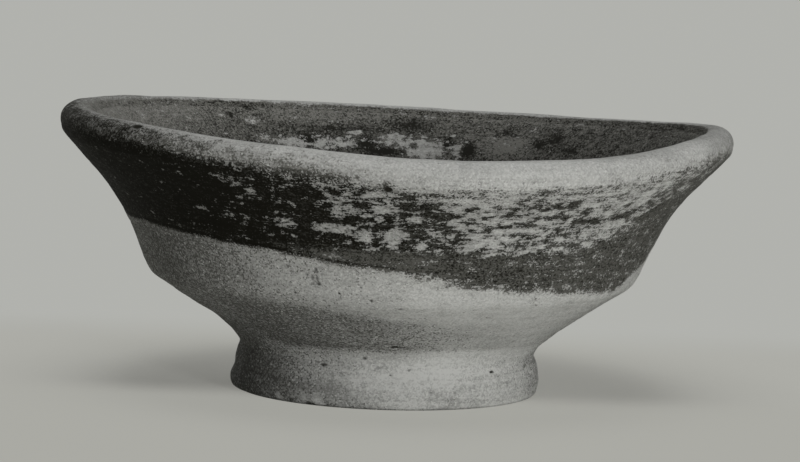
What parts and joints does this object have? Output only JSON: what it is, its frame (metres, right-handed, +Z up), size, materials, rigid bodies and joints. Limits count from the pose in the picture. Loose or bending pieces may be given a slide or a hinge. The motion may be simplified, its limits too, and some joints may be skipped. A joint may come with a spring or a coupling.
{
  "type": "footed bowl",
  "caption": "Thick-walled earthenware bowl with an angular shoulder, flared wall and rounded lip on a ring foot, with a worn band of dark slip outside and dark slip inside.",
  "frame": {"origin": "on the turning axis, in the plane that the ring foot rests on", "axes": "+Z up along the turning axis, -Y towards the front that the picture shows, +X to the right of that view"},
  "size_m": [0.1504, 0.1504, 0.0626],
  "materials": {
    "bare_clay": "matt gritty fired clay, pale grey, with fine dark specks and wheel lines",
    "foot_clay": "matt turned fired clay, pale grey, worn at the resting edge",
    "luting_clay": "matt fired clay slip, grey, smoothed over at the neck",
    "outer_dark_slip": "worn satin black slip, flaked down to pale clay over the front and right",
    "inner_dark_slip": "mottled satin dark grey slip, rubbed paler in patches"
  },
  "bodies": {
    "root": {"thrown_bowl": "bare_clay", "ring_foot": "foot_clay", "luting_slip": "luting_clay", "outer_slip_coat": "outer_dark_slip", "inner_slip_coat": "inner_dark_slip"}
  },
  "joints": []
}
